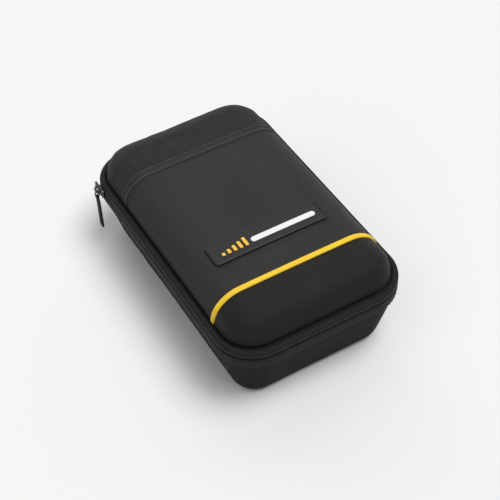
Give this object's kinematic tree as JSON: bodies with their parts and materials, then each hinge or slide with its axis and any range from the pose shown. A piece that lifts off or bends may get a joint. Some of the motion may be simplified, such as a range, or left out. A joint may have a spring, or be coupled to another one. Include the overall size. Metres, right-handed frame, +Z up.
{
  "type": "zipped hard-shell carrying case",
  "caption": "Moulded zipped carrying case with a domed lid, yellow piped stripe, badge, foam-lined base and one zip slider with a pull tab.",
  "frame": {"origin": "middle of the flat resting face under the base", "axes": "+Z up out of the resting face, +Y towards the hinge end along the length, +X to the right seen from the near end"},
  "size_m": [0.1301, 0.2, 0.0738],
  "materials": {
    "base_fabric": "woven polyester laminated on moulded foam",
    "lining": "brushed tricot lining",
    "binding": "ribbed binding tape",
    "foam": "cut closed-cell foam",
    "elastic": "ribbed woven elastic",
    "zip_tape": "herringbone zip tape",
    "zip_coil": "nylon coil",
    "slider_metal": "die-cast zinc, dark nickel finish",
    "eva_foam": "moulded foam core",
    "mesh": "knitted mesh",
    "far_fabric": "coarse woven nylon",
    "centre_fabric": "fine matt coated fabric",
    "near_fabric": "smooth coated fabric",
    "seam_cord": "corded seam under coated fabric",
    "piping_yellow": "satin piping",
    "badge_rubber": "moulded soft rubber",
    "mark_yellow": "coloured moulded rubber",
    "mark_white": "coloured moulded rubber",
    "pull_rubber": "moulded soft rubber"
  },
  "bodies": {
    "base": {"base_shell": "base_fabric", "base_lining": "lining", "base_rim_binding": "binding", "foam_insert": "foam", "elastic_strap": "elastic", "zip_tape_lower": "zip_tape", "zip_coil_lower": "zip_coil", "zip_stops_lower": "slider_metal", "hinge_strip_base": "zip_tape"},
    "lid": {"lid_shell": "eva_foam", "lid_lining": "lining", "lid_rim_binding": "binding", "mesh_pocket": "mesh", "pocket_hem": "elastic", "far_panel": "far_fabric", "centre_panel": "centre_fabric", "near_panel": "near_fabric", "seam_tape": "centre_fabric", "seam_ridge_far": "seam_cord", "seam_ridge_near": "seam_cord", "yellow_piping": "piping_yellow", "badge_plate": "badge_rubber", "badge_bars": "mark_yellow", "badge_name_bar": "mark_white", "zip_tape_upper": "zip_tape", "zip_coil_upper": "zip_coil", "zip_stops_upper": "slider_metal", "hinge_strip_lid": "zip_tape"},
    "slider": {"slider_body": "slider_metal", "slider_bridge": "slider_metal"},
    "link": {"pull_link": "slider_metal"},
    "tab": {"pull_tab": "pull_rubber"}
  },
  "joints": [
    {"name": "lid_hinge", "type": "hinge", "parent": "base", "child": "lid", "pos_m": [0, 0.1004, 0.0475], "axis": [-1, 0, 0], "range_deg": [0, 175]},
    {"name": "slider_travel", "type": "slide", "parent": "base", "child": "slider", "axis": [0, -1, 0], "range_m": [0, 0.144]},
    {"name": "link_swing", "type": "hinge", "parent": "slider", "child": "link", "pos_m": [-0.0659, 0.0775, 0.0475], "axis": [0, 1, 0], "range_deg": [0, 150]},
    {"name": "tab_swing", "type": "hinge", "parent": "link", "child": "tab", "pos_m": [-0.0659, 0.0775, 0.043], "axis": [1, 0, 0], "range_deg": [-60, 60]}
  ]
}
